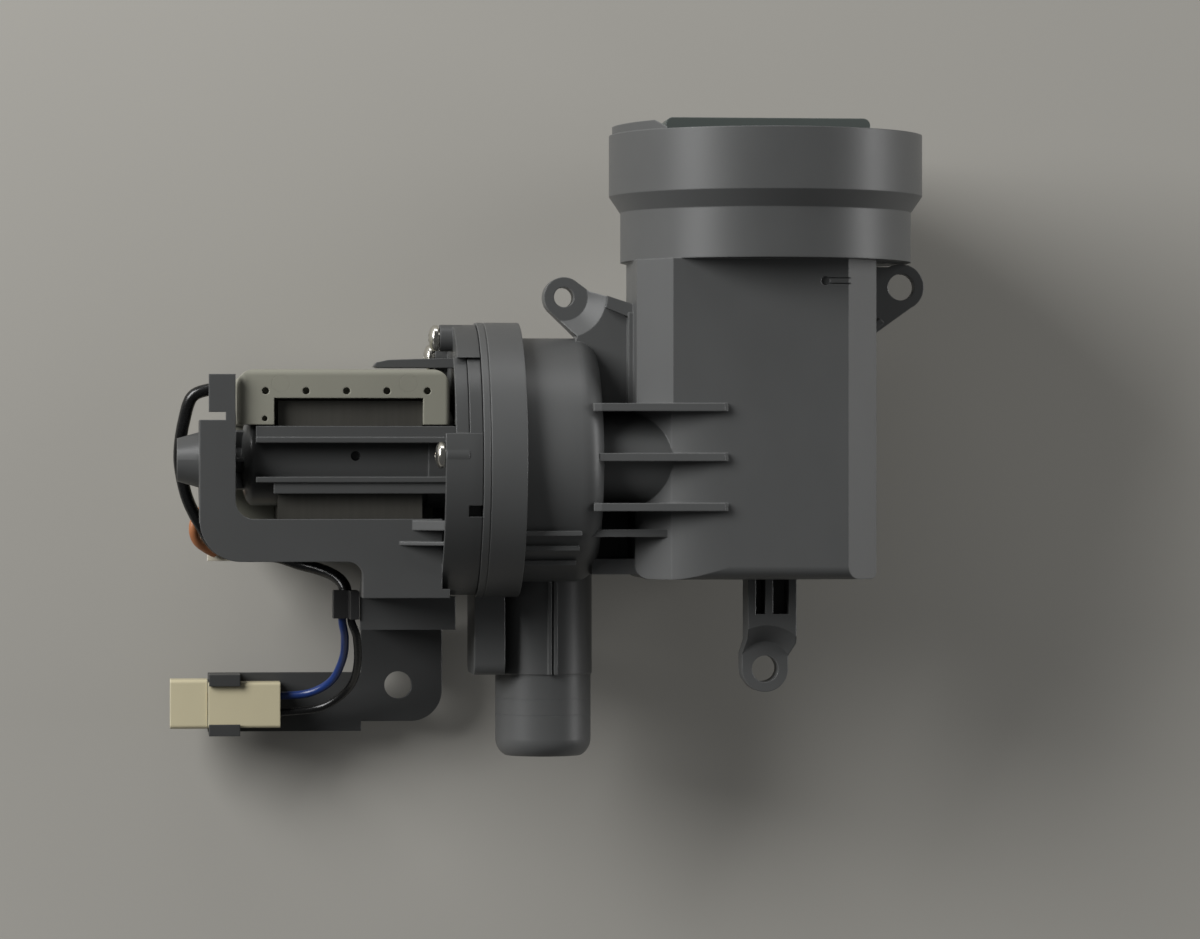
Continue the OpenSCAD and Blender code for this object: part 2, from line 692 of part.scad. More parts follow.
// The flange wall is open over the disc's rim beside the coil case
module frame_opening() {
    difference() {
        slab_x(frame_back - 2, cover_x + 1) translate([pump_y, axis_h])
            polygon([[7, 21], [7, 60], [27.2, 60], [27.2, 8], [20, 8]]);
        tube_x(frame_x - wall - 1, frame_x + eps, 2 * (disc_r - 1.2));
    }
}
module motor_frame() {
    color(plastic) difference() {
        union() {
            slab_z(plate_z - frame_plate, plate_z) frame_plan();
            frame_flange();
            // End wall with the rear boss
            slab_x(frame_x0, frame_x0 + end_wall_t)
                polygon([[pump_y - 17, plate_z - eps], [pump_y + 10.6, plate_z - eps], [pump_y + 10.6, axis_h - 4],
                    [pump_y + 7, axis_h - 10], [pump_y - 7, axis_h - 10], [pump_y - 11, axis_h - 4],
                    [pump_y - 17, axis_h + 8]]);
            translate([frame_x0 + eps, pump_y, axis_h]) rotate([0, -90, 0])
                cylinder(d1 = 15, d2 = 11.6, h = boss_l);
            tube_x(frame_x0, barrel_back - 3.6, 15);
            // Skirt below the arm, along the coil case
            box(foot_x0 - 20, frame_x - wall, arm_y0, arm_y0 + frame_plate, axis_h - 16, plate_z - eps);
            box(frame_x0 + 14, foot_x0 - 19, arm_y0, arm_y0 + frame_plate, plate_z - 9, plate_z - eps);
            // Turned-down foot and its ledge
            box(foot_x0, frame_back + 2, foot_y, foot_y + frame_plate, ledge_z - frame_plate, plate_z - eps);
            box(foot_x0, frame_back + 4.6, ledge_y, foot_y + eps, ledge_z - frame_plate, ledge_z);
            slab_x(foot_x0, foot_x0 + 2)
                polygon([[foot_y, ledge_z], [foot_y, plate_z - eps], [arm_y0 + 1, plate_z - eps], [foot_y + 4, ledge_z]]);
            // Gussets on the arm
            slab_y(arm_y1 - 3, arm_y1 - 0.4)
                polygon([[frame_back + 1, plate_z - eps], [frame_back - 8, plate_z - eps], [frame_back + 1, plate_z + 7]]);
            slab_y(arm_y0 + 4.4, arm_y0 + 5.4)
                polygon([[frame_back + 1, plate_z - eps], [frame_back - 11.5, plate_z - eps],
                    [frame_back + 1, plate_z + 6]]);
            // Locking tongue beside the coil case
            slab_z(axis_h + 4, axis_h + 13) translate([frame_back, case_y1])
                polygon([[-18, 0.9], [-17.2, 1.9], [-14, 2.6], [frame_flange_t - 1, 3.2], [frame_flange_t - 1, 0.5],
                    [-17, 0.5]]);
            // Snap hook at the end of the flange wall
            slab_z(axis_h + 26, axis_h + 31) translate([frame_x, pump_y]) difference() {
                polygon([[-3.2, 10.8], [-0.4, 14.8], [0, 14.8], [0, 10], [-3.2, 9.2]]);
                polygon([[-1.8, 11], [-0.6, 12.9], [-0.6, 10.8]]);
            }
        }
        tube_x(barrel_back - nose_l - seat, barrel_back, nose_d + 0.2);
        for (x = bracket_screw_x) translate([x, ledge_y + 5.4, ledge_z - 4]) cylinder(d = 3.2, h = 3.3);
        tube_x(frame_back - 1, frame_x + 1, barrel_d + 1.8);
        slab_x(frame_back - 1, frame_x + 1) translate([pump_y, axis_h])
            polygon([[-10, 0], [-10, 19], [10, 19], [10, 0]]);
        at_screws(frame_back - 1) cylinder(d = screw_d + 0.4, h = frame_flange_t + 2);
        // Clearance for the heads and the driver
        at_screws(frame_back - 9) cylinder(d = screw_head_d + 1, h = 9);
    }
}

// Pan-head screws, driven from the motor side
head_h = 2.6;
module cover_screws() {
    color([0.75, 0.74, 0.7]) at_screws(frame_back - seat) {
        cylinder(d = screw_d, h = frame_x - frame_back + cover_t + flange_t - 3);
        translate([0, 0, -head_h]) difference() {
            union() {
                cylinder(d1 = screw_head_d - 2, d2 = screw_head_d, h = 1.1);
                translate([0, 0, 1.1]) cylinder(d = screw_head_d, h = head_h - 1.1);
            }
            for (a = [0, 90]) rotate(a) translate([-2, -0.5, -1]) cube([4, 1, 2.2]);
        }
    }
}

// Bearings, shaft, magnet and impeller
carrier_x = cover_x - 7.4;
module bearing_carrier() {
    color([0.12, 0.12, 0.12]) pump_turned() difference() {
        union() {
            band(bush_d / 2 + 0.02, bore_r - 0.05, carrier_x, carrier_x + 2.4);
            band(bush_d / 2 + 0.02, bush_d / 2 + 2, carrier_x, carrier_x + bush_l);
            band(bore_r - 1.8, bore_r - 0.05, carrier_x, cover_x);
        }
    }
}
module bush(x) {
    pump_turned() difference() {
        band(shaft_d / 2 + shaft_fit, bush_d / 2, x, x + bush_l);
        translate([bush_d / 2, x]) rotate(45) square(0.8, center = true);
    }
}
module front_bearing() color([0.3, 0.28, 0.25]) bush(carrier_x);
module rear_bearing() color([0.3, 0.28, 0.25]) bush(barrel_back + plug_t - bush_l);
shaft_x0 = barrel_back + plug_t - bush_l + 0.5;
impeller_x0 = cover_x + 3.2;
impeller_l = drum_end - drum_wall - 2.6 - impeller_x0;
shaft_x1 = impeller_x0 + impeller_l * 0.72;
module rotor_shaft() color([0.8, 0.8, 0.8]) tube_x(shaft_x0, shaft_x1, shaft_d);
magnet_x0 = barrel_back + plug_t + 1.6;
magnet_x1 = carrier_x - 1.4;
module rotor_magnet() {
    color([0.2, 0.2, 0.21]) pump_turned() difference() {
        band(shaft_d / 2, magnet_d / 2, magnet_x0, magnet_x1);
        for (x = [magnet_x0, magnet_x1])
            translate([magnet_d / 2, x]) rotate(45) square(1.6, center = true);
    }
}
module thrust_washers() {
    color([0.7, 0.6, 0.4]) pump_turned() {
        band(shaft_d / 2, shaft_d / 2 + 2.4, barrel_back + plug_t + seat, magnet_x0);
        band(shaft_d / 2, shaft_d / 2 + 2.4, magnet_x1, carrier_x - seat);
    }
}
hub_d = 10;
vane_t = 2;
module impeller() {
    color([0.5, 0.5, 0.5]) difference() {
        union() {
            tube_x(impeller_x0, impeller_x0 + 2, impeller_d);
            pump_turned() polygon([[0, impeller_x0], [hub_d / 2 + 2, impeller_x0], [hub_d / 2, impeller_x0 + 6],
                [hub_d / 2 - 1.2, impeller_x0 + impeller_l - 2], [0, impeller_x0 + impeller_l]]);
            for (i = [0 : vanes - 1])
                translate([impeller_x0, pump_y, axis_h]) rotate([i * 360 / vanes, 0, 0])
                    rotate([90, 0, 0]) translate([0, 0, -vane_t / 2]) linear_extrude(vane_t)
                        polygon([[1, hub_d / 4], [1, impeller_d / 2 - 0.4], [impeller_l * 0.6, impeller_d / 2 - 0.4],
                            [impeller_l, impeller_d / 2 - 7], [impeller_l, hub_d / 4]]);
        }
        tube_x(shaft_x0, shaft_x1, shaft_d);
    }
}

// U-shaped lamination stack with stepped poles
module core_section(grow) {
    hw = core_w / 2 + grow;
    difference() {
        translate([pump_y, 0]) polygon([[-hw, -grow], [hw, -grow], [hw, axis_h + pole_h + grow],
            [-hw, axis_h + pole_h + grow]]);
        translate([pump_y, axis_h]) circle(barrel_r + 0.35 - grow);
        translate([pump_y - pole_gap / 2 + grow, axis_h]) square([pole_gap - 2 * grow, 40]);
        translate([pump_y - leg_gap / 2 + grow, yoke_t + grow]) square([leg_gap - 2 * grow, axis_h - yoke_t - grow]);
        // Wider air gap over part of each pole, so that the rotor starts
        intersection() {
            translate([pump_y, axis_h]) circle(barrel_r + 1.2 - grow);
            union() {
                translate([pump_y, axis_h]) square(30);
                translate([pump_y - 30, axis_h - 30]) square(30);
            }
        }
    }
}
module stator_core() {
    color([0.32, 0.32, 0.28]) difference() {
        slab_x(core_x0, core_x1) core_section(0);
        // Rivet recesses in the yoke
        for (s = [-1, 1])
            translate([core_x0 - 1, pump_y + s * (core_w / 2 - 4), yoke_t / 2]) rotate([0, 90, 0])
                cylinder(d = 3, h = 1.6);
    }
}
coil_z0 = yoke_t + 3.6;
coil_z1 = axis_h - barrel_r - 5;
leg_w = (core_w - leg_gap) / 2;
leg_c = (core_w + leg_gap) / 4;
coil_in = 0.8;
coil_end = 2.2;
coil_side = 5;
module leg_ring(grow, inner, r) {
    ex = coil_end + grow;
    ey = coil_side + grow;
    for (s = [-1, 1]) translate([0, pump_y + s * leg_c]) difference() {
        corner_rect(core_x0 - ex, core_x1 + ex, -leg_w / 2 - ey, leg_w / 2 + ey, [r, r, r, r]);
        translate([core_x0 - inner, -leg_w / 2 - inner]) square([core_l + 2 * inner, leg_w + 2 * inner]);
    }
}
module stator_coils() color([0.6, 0.3, 0.12]) slab_z(coil_z0, coil_z1) leg_ring(0, coil_in, 2.4);
case_x1 = frame_back + 2.2;
case_low_x1 = frame_back - 0.5;
case_x0 = case_x1 - case_l;
case_z0 = yoke_t - 2;
half_case_z = axis_h - 14;
case_round = 4.6;
window_w = 6.8;
module coil_case() {
    color([0.56, 0.55, 0.5]) difference() {
        union() {
            slab_z(case_z0, half_case_z)
                corner_rect(case_x0, case_low_x1, case_y0, case_y1, [case_round, 2, 2, case_round]);
            intersection() {
                slab_z(half_case_z - eps, axis_h + case_h)
                    corner_rect(case_x0, case_x1, pump_y + pole_gap / 2 + 3, case_y1, [0, 0, case_round, case_round]);
                slab_y(case_y0, case_y1 + 1)
                    corner_rect(case_x0, case_x1, case_z0, axis_h + case_h, [0, 0, 1.2, 2.4]);
                slab_x(case_x0 - 1, case_x1 + 1)
                    corner_rect(case_y0, case_y1, case_z0, axis_h + case_h, [0, 0, 1.6, 0]);
            }
        }
        slab_x(core_x0 - 0.1, core_x1 + 0.1) core_section(0.1);
        // Window over the pole
        box(core_x0 - 1.1, core_x1 + 0.1, pump_y, pump_y + core_w / 2 + 0.7, axis_h + 8, axis_h + case_h + 1);
        tube_x(case_x0 - 1, case_x1 + 1, barrel_d + 2.2);
        slab_x(case_x0 - 1, case_x1 + 1) translate([pump_y - 9.4, axis_h]) square([18.8, 40]);
        slab_z(coil_z0 - 0.1, coil_z1 + 0.1) leg_ring(0.1, 0, 2.4);
        // Row of locating dimples
        for (i = [0 : 4])
            translate([case_x0 + 7.6 + i * 10.8, pump_y + 18.4, axis_h + case_h - 2.6]) cylinder(d = 1.9, h = 3);
        translate([case_x0 + 7.4, pump_y + 11, axis_h + case_h - 2.6]) cylinder(d = 1.5, h = 3);
    }
}
terminal_h = [axis_h - 6, half_case_z - 8];
terminal_y = [pump_y + 18.8, pump_y - 12];
module coil_terminals() {
    color([0.75, 0.65, 0.35]) for (i = [0, 1])
        box(case_x0 - 4, case_x0 - 0.1, terminal_y[i] - 2.4, terminal_y[i] + 2.4, terminal_h[i] - 0.4, terminal_h[i] + 0.4);
}
fuse_y = pump_y - 20;
fuse_z = terminal_h[1] - 4;
module thermal_fuse() {
    color([0.85, 0.83, 0.75]) {
        box(case_x0 - 4.8, case_x0 - 0.3, fuse_y - 4, fuse_y + 12, fuse_z - 2, fuse_z + 2);
        box(case_x0 - 4.8, case_x0 - 0.3, fuse_y - 6, fuse_y - 4 + eps, fuse_z - 2, fuse_z + 0.6);
        box(case_x0 - 7.3, case_x0 - 0.3, fuse_y - 7.8, fuse_y - 6 + eps, fuse_z - 2, fuse_z + 0.6);
    }
}

// Smooth curve through a short list of points
function curve_at(p, i, t) = let (n = len(p), a = p[max(i - 1, 0)], b = p[i], c = p[i + 1], d = p[min(i + 2, n - 1)])
    0.5 * ((2 * b) + (c - a) * t + (2 * a - 5 * b + 4 * c - d) * t * t + (3 * b - a - 3 * c + d) * t * t * t);
function smooth(p, k) = [for (i = [0 : len(p) - 2]) for (j = [0 : k - 1]) curve_at(p, i, j / k), p[len(p) - 1]];
function unit(v) = v / norm(v);
function tangent(q, i) = unit(q[min(i + 1, len(q) - 1)] - q[max(i - 1, 0)]);
function ring_at(c, t, r, sides) = let (u = unit(cross(t, [0.13, 0.21, 0.97])), v = cross(t, u))
    [for (k = [0 : sides - 1]) c + r * (cos(360 * k / sides) * u + sin(360 * k / sides) * v)];
// A round lead swept along a route
module lead(route, d, k, sides) {
    q = smooth(route, k);
    n = len(q);
    points = [for (i = [0 : n - 1]) each ring_at(q[i], tangent(q, i), d / 2, sides)];
    sides_faces = [for (i = [0 : n - 2]) for (j = [0 : sides - 1]) let (a = i * sides + j, b = i * sides + (j + 1) % sides)
        each [[a, b + sides, b], [a, a + sides, b + sides]]];
    ends = [for (j = [1 : sides - 2]) each [[0, j, j + 1], [(n - 1) * sides, (n - 1) * sides + j + 1, (n - 1) * sides + j]]];
    polyhedron(points = points, faces = concat(sides_faces, ends));
}
sleeve_route = [[-143.6, 11.4, 46], [-146.4, 11.6, 46], [-150.8, 9.6, 45.4], [-152.9, 3.2, 43.4], [-154, -4, 41],
    [-153.8, -10, 39.6], [-151.9, -18, 37.6], [-148.4, -25, 35.6], [-144, -31.2, 34], [-137, -33.5, 33.2],
    [-128, -33.8, 33], [-121.5, -35.8, 33.6], [-115.6, -37.4, 36.6], [-111.4, -39.4, 40], [-109.2, -42.2, 42],
    [-108.8, -46, 42]];
blue_route = [[-109.95, -46.4, 42], [-109.9, -51.4, 41.4], [-109, -56, 37], [-109.2, -62, 29], [-112, -68.4, 21.6],
    [-118, -72, 17.4], [-125.8, -72.8, 16]];
black_route = [[-107.65, -46.4, 42], [-107.4, -51.4, 41.6], [-105.8, -56, 38], [-105.3, -64, 30], [-107.4, -70.6, 22],
    [-114.6, -76, 17], [-125.8, -77.4, 16]];
brown_route = [[-143.4, -19.4, 30], [-146.6, -20.2, 31.2], [-149.4, -23, 32.6], [-150.2, -26.6, 32.6],
    [-149.2, -29.6, 31.2], [-146.8, -31.6, 29.4], [-144.2, -33, 28]];
module wire_sleeve() color([0.05, 0.05, 0.05]) lead(sleeve_route, sleeve_d, 4, 8);
module blue_lead() color([0.1, 0.2, 0.5]) lead(blue_route, lead_d, 4, 8);
module black_lead() color([0.05, 0.05, 0.05]) lead(black_route, lead_d, 4, 8);
module brown_lead() color([0.55, 0.3, 0.15]) lead(brown_route, lead_d + 0.4, 4, 8);

// Clip on the edge of the ledge that grips the leads
clip_x1 = foot_x0 - seat;
clip_w = 6.6;
clip_y0 = ledge_y + 2.8;
clip_l = 7.6;
clip_z = 42;
clip_h = 8;
module wire_clip() {
    color([0.1, 0.1, 0.1]) difference() {
        union() {
            box(clip_x1 - clip_w, clip_x1, clip_y0, clip_y0 + clip_l, clip_z - clip_h / 2, clip_z + clip_h / 2);
            box(clip_x1 - 2.4, clip_x1, clip_y0, clip_y0 + clip_l, clip_z, ledge_z + 0.6);
        }
        translate([-108.8, clip_y0 - 1, clip_z]) rotate([-90, 0, 0]) cylinder(d = 2 * lead_d + 0.6, h = clip_l + 2);
    }
}

// Bracket below the frame that carries the plug
arm_edge_y = ledge_y - 13.3;
bracket_end_y = ledge_y - 27;
bracket_x1 = foot_x0 + 25;
bracket_x0 = -146;
bracket_hole = [foot_x0 + 12.7, ledge_y - 16.9];
bracket_z = bracket_h - bracket_t;
plug_x1 = -126.1;
plug_x0 = -146;
plug_y = ledge_y - 21.9;
leg_top = ledge_z - frame_plate - seat;
module connector_bracket() {
    color(dark_plastic) difference() {
        union() {
            slab_z(bracket_z, bracket_h) {
                corner_rect(foot_x0 + 2.3, bracket_x1, bracket_end_y, ledge_y + 2, [0, 8.7, 0, 0]);
                translate([bracket_x0, bracket_end_y - 2.7]) square([foot_x0 + 2.4 - bracket_x0 + eps, arm_edge_y - bracket_end_y + 2.7]);
            }
            // Leg up to the frame's ledge, with side ribs and a flange
            box(foot_x0 + 2.3, bracket_x1, ledge_y, ledge_y + 2.4, bracket_z, leg_top);
            for (x = [foot_x0 + 2.3, bracket_x1 - 2])
                slab_x(x, x + 2)
                    polygon([[ledge_y + 0.1, bracket_z], [ledge_y + 8.4, leg_top - 1], [ledge_y + 8.4, leg_top],
                        [ledge_y + 0.1, leg_top]]);
            box(foot_x0 + 2.3, bracket_x1, ledge_y, ledge_y + 8.6, leg_top - 2.2, leg_top);
            // Ears that hold the plug
            for (s = [-1, 1])
                slab_x(plug_x0 + 0.2, plug_x0 + 8.8)
                    polygon([for (p = [[plug_w / 2 + 0.2, bracket_h - 0.2], [plug_w / 2 + 2.2, bracket_h - 0.2],
                        [plug_w / 2 + 2.2, bracket_h + plug_h + 1.6], [plug_w / 2 - 1, bracket_h + plug_h + 1.6],
                        [plug_w / 2 - 1, bracket_h + plug_h + 0.6], [plug_w / 2 + 0.2, bracket_h + plug_h + 0.4]])
                        [plug_y + s * p[0], p[1]]]);
        }
        translate([bracket_hole[0], bracket_hole[1], bracket_z - 1]) cylinder(d = bracket_hole_d, h = bracket_t + 2);
        for (x = bracket_screw_x) translate([x, ledge_y + 5.4, leg_top - 4]) cylinder(d = 3.2, h = 6);
    }
}
module bracket_screws() {
    color([0.75, 0.74, 0.7]) for (x = bracket_screw_x) translate([x, ledge_y + 5.4, leg_top - 2.2 - 2]) {
        cylinder(d = 5.6, h = 1.9);
        cylinder(d = 3, h = 5.6);
    }
}

// Two-pole plug with its retaining collar
plug_z = bracket_h + 0.2;
module plug_housing() {
    color([0.75, 0.7, 0.56]) difference() {
        slab_x(plug_x0, plug_x1)
            corner_rect(plug_y - plug_w / 2, plug_y + plug_w / 2, plug_z, plug_z + plug_h, [0.8, 0.8, 0.8, 0.8]);
        for (s = [-1, 1]) {
            box(plug_x1 - 6, plug_x1 + 1, plug_y + s * 2.3 - 1.5, plug_y + s * 2.3 + 1.5, plug_z + 4.3, plug_z + 7.3);
            box(plug_x0 - 1, plug_x0 + 13, plug_y + s * 2.3 - 1.2, plug_y + s * 2.3 + 1.2, plug_z + 3.2, plug_z + 6.8);
        }
    }
}
collar_l2 = 10.5;
module plug_collar() {
    color([0.75, 0.7, 0.56]) difference() {
        slab_x(plug_x0 - collar_l2, plug_x0 - seat)
            corner_rect(plug_y - plug_w / 2 - 0.2, plug_y + plug_w / 2 + 0.8, plug_z, plug_z + plug_h - 0.6, [1, 1, 1, 1]);
        slab_x(plug_x0 - collar_l2 - 1, plug_x0 - 1.6)
            corner_rect(plug_y - plug_w / 2 + 1.2, plug_y + plug_w / 2 - 0.6, plug_z + 1.4, plug_z + plug_h - 2,
                [0, 0, 0, 0]);
        for (s = [-1, 1])
            box(plug_x0 - 3, plug_x0 + 1, plug_y + s * 2.3 - 1.2, plug_y + s * 2.3 + 1.2, plug_z + 3.2, plug_z + 6.8);
    }
}
module plug_contacts() {
    color([0.8, 0.7, 0.35]) for (s = [-1, 1])
        box(plug_x0 - 6, plug_x0 + 12, plug_y + s * 2.3 - 0.9, plug_y + s * 2.3 + 0.9, plug_z + 3.4, plug_z + 4.6);
}

// Filter: cage with rows of windows, and the cap that seals and turns on its hub
basket_r = throat_d / 2 - 1.7;
basket_t = 1.6;
basket_y0 = tail_y + wall + 3;
basket_y1 = collar_y + 3.4;
cage_rows = 4;
cage_angles = [0, 36, 144, 180, 216, 252, 288, 324];
row_l = (basket_y1 - basket_y0 - 8) / cage_rows;
module filter_basket() {
    color([0.55, 0.56, 0.56]) difference() {
        filter_turned() difference() {
            union() {
                band(basket_r - basket_t, basket_r, basket_y0, basket_y1);
                band(0, basket_r, basket_y0, basket_y0 + basket_t);
                band(0, basket_r, basket_y1 - 2, basket_y1);
                band(0, hub_r, basket_y1 - 2, basket_y1 + 4);
            }
        }
        for (i = [0 : cage_rows - 1], a = cage_angles)
            translate([filter_x, 0, axis_h]) rotate([0, a, 0])
                box(basket_r - 4, basket_r + 2, basket_y0 + 3.6 + i * row_l, basket_y0 + 3.6 + (i + 0.72) * row_l,
                    -cage_slot / 2, cage_slot / 2);
        // Open side towards the tub inlet
        translate([filter_x, 0, axis_h]) rotate([0, 90, 0])
            box(4, basket_r + 2, basket_y0 + 3.6, basket_y1 - 6, -14, 14);
    }
}
cage_slot = 8;
hub_r = 6;
plug_r = throat_d / 2 - slip;
cap_y0 = basket_y1 + slip;
cap_seal_d = 2.4;
cap_seal_y = cap_y0 + 5;
cap_seal_r = throat_d / 2 - 0.15 - cap_seal_d / 2;
cap_t = 8;
grip_l = 56;
grip_w = 12;
grip_top = rim_y + 4.7;
module filter_cap() {
    color([0.3, 0.33, 0.32]) difference() {
        union() {
            filter_turned() {
                difference() {
                    union() {
                        band(0, plug_r, cap_y0, step_y + slip + 1);
                        band(0, recess_d / 2 - slip, step_y + slip, step_y + slip + cap_t);
                    }
                    band(cap_seal_r - cap_seal_d / 2 - 0.02, plug_r + 1, cap_seal_y - cap_seal_d / 2 - 0.1,
                        cap_seal_y + cap_seal_d / 2 + 0.1);
                    band(0, plug_r - 2 * wall, cap_y0 - 1, step_y - 2);
                    // Dished face round the grip
                    band(6, recess_d / 2 - slip - 3, step_y + slip + cap_t - 3.4, step_y + slip + cap_t + 1);
                }
                band(0, hub_r + 2.4, basket_y1 + 0.6, step_y - 1);
            }
            // Grip across the cap
            intersection() {
                slab_z(axis_h - grip_w / 2, axis_h + grip_w / 2)
                    corner_rect(filter_x - grip_l / 2, filter_x + grip_l / 2, step_y + slip + 1, grip_top,
                        [0, 0, 2, 2]);
                filter_turned() band(0, recess_d / 2 - slip - 1, step_y, grip_top + 1);
            }
        }
        // Socket that turns on the basket's hub, and a hollow under the grip
        filter_turned() band(0, hub_r + slip, cap_y0 - 2, basket_y1 + 4 + slip);
        box(filter_x - grip_l / 2 + 5, filter_x + grip_l / 2 - 5, step_y - 3, grip_top - wall,
            axis_h - grip_w / 2 + 2, axis_h + grip_w / 2 - 2);
    }
}
module cap_seal() {
    color([0.06, 0.06, 0.06]) filter_turned()
        translate([cap_seal_r, cap_seal_y]) circle(cap_seal_d / 2);
}

pump_housing();
cover_seal();
rotor_cover();
motor_frame();
cover_screws();
bearing_carrier();
front_bearing();
rear_bearing();
rotor_shaft();
rotor_magnet();
thrust_washers();
impeller();
stator_core();
stator_coils();
coil_case();
coil_terminals();
thermal_fuse();
brown_lead();
wire_sleeve();
blue_lead();
black_lead();
wire_clip();
connector_bracket();
bracket_screws();
plug_housing();
plug_collar();
plug_contacts();
filter_basket();
filter_cap();
cap_seal();
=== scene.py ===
"""Looks of the washer drain pump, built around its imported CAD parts."""

import math

import bmesh
import bpy
from mathutils import Matrix, Vector


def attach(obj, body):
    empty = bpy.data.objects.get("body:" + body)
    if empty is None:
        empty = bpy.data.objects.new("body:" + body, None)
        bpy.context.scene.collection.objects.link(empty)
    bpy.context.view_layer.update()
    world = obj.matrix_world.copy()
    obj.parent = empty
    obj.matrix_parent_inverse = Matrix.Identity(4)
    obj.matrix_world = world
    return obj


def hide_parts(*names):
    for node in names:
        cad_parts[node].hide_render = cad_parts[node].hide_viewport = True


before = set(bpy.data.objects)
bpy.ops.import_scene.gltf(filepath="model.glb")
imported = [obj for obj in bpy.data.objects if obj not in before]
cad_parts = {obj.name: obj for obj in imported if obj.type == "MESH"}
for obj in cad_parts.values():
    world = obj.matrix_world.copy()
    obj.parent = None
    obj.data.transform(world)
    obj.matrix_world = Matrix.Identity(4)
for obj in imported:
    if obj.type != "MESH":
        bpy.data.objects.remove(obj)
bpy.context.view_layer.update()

MM = 0.001

# Studio.
# A plain pale table seen from straight above, with a slight lean towards the
# motor. A large softbox stands low on the left, and two white cards fill from
# the right and from the head of the table.
LEAN = math.radians(5.5)
AIM = Vector((-40.3, -10.0, 52.0)) * MM
CAMERA_DISTANCE = 1305 * MM
ahead = Vector((math.sin(LEAN), 0.0, -math.cos(LEAN)))
upward = Vector((0.0, 1.0, 0.0))
rightward = ahead.cross(upward)
camera = bpy.data.objects.new("studio_camera", bpy.data.cameras.new("studio_camera"))
LENS_MM, SENSOR_MM, NEAREST, FURTHEST = 144, 36, 0.05, 30
camera.data.lens, camera.data.sensor_width = LENS_MM, SENSOR_MM
camera.data.clip_start, camera.data.clip_end = NEAREST, FURTHEST
turn = Matrix((rightward, upward, -ahead)).transposed()
camera.matrix_world = Matrix.Translation(AIM - ahead * CAMERA_DISTANCE) @ turn.to_4x4()
bpy.context.scene.collection.objects.link(camera)
bpy.context.scene.camera = camera
bpy.context.scene.view_settings.view_transform = "Standard"


class Wire:
    """A value on its way through a shader. A sum of wires adds its Math nodes."""

    def __init__(self, socket):
        self.socket = socket

    def sum(self, operation, first, second):
        tree = self.socket.id_data
        made = tree.nodes.new("ShaderNodeMath")
        made.operation = operation
        for place, value in enumerate((first, second)):
            if isinstance(value, Wire):
                tree.links.new(value.socket, made.inputs[place])
            else:
                made.inputs[place].default_value = value
        return Wire(made.outputs[0])

    def __add__(self, other):
        return self.sum("ADD", self, other)

    def __radd__(self, other):
        return self.sum("ADD", other, self)

    def __sub__(self, other):
        return self.sum("SUBTRACT", self, other)

    def __rsub__(self, other):
        return self.sum("SUBTRACT", other, self)

    def __mul__(self, other):
        return self.sum("MULTIPLY", self, other)

    def __rmul__(self, other):
        return self.sum("MULTIPLY", other, self)

    def __lt__(self, other):
        return self.sum("LESS_THAN", self, other)

    def __abs__(self):
        return self.sum("ABSOLUTE", self, 0.0)


class Finish:
    """The material of one piece, and the nodes that make it."""

    BEVEL_RAYS = 4          # enough for corners this small
    EDGE_CONTRAST = 4.0     # an edge shows in full where its rounded normal leans 41 degrees

    def __init__(self, name):
        self.material = bpy.data.materials.new(name)
        self.material.use_nodes = True
        self.tree = self.material.node_tree
        self.surface = self.tree.nodes["Principled BSDF"]
        self.place = self.node("ShaderNodeTexCoord", out="Object")

    def node(self, kind, settings=(), inputs=(), out=0):
        """Adds a node: its settings first, then the values or links of its sockets."""
        made = self.tree.nodes.new(kind)
        for setting, value in dict(settings).items():
            setattr(made, setting, value)
        self.feed(made, inputs)
        return Wire(made.outputs[out])

    def feed(self, made, inputs):
        """Sets or links a node's sockets."""
        for socket, value in dict(inputs).items():
            if isinstance(value, Wire):
                self.tree.links.new(value.socket, made.inputs[socket])
            else:
                made.inputs[socket].default_value = value

    def blotches(self, per_metre, detail=2.0, stretch=(1, 1, 1)):
        """Soft random variation between 0 and 1, so many times a metre."""
        place = self.node("ShaderNodeMapping", inputs={"Vector": self.place, "Scale": stretch})
        return self.node("ShaderNodeTexNoise", inputs={
            "Vector": place, "Scale": per_metre, "Detail": detail})

    def mixed(self, share, low, high):
        """A colour between low and high."""
        return self.node("ShaderNodeMix", {"data_type": "RGBA"}, {0: share, 6: low, 7: high}, out=2)

    def edges(self, radius):
        """Where the surface turns a corner, and its normal rounded over that corner."""
        rounded = self.node("ShaderNodeBevel", {"samples": self.BEVEL_RAYS}, {"Radius": radius})
        true = self.node("ShaderNodeNewGeometry", out="Normal")
        along = self.node("ShaderNodeVectorMath", {"operation": "DOT_PRODUCT"},
                          {0: rounded, 1: true}, out="Value")
        return (1 - along) * self.EDGE_CONTRAST, rounded

    def bump(self, height, depth, rounded=None):
        """A bumped normal, on the rounded one where it is given."""
        inputs = {"Height": height, "Distance": depth, "Strength": 1.0}
        if rounded:
            inputs["Normal"] = rounded
        return self.node("ShaderNodeBump", inputs=inputs)


def shade(grey, tint=(1, 1, 1)):
    """A display grey of 0 to 255, tinted, as the colour that a shader takes."""
    lit = [grey / 255 * t for t in tint]
    return tuple(((c + 0.055) / 1.055) ** 2.4 if c > 0.04 else c / 12.92 for c in lit) + (1.0,)


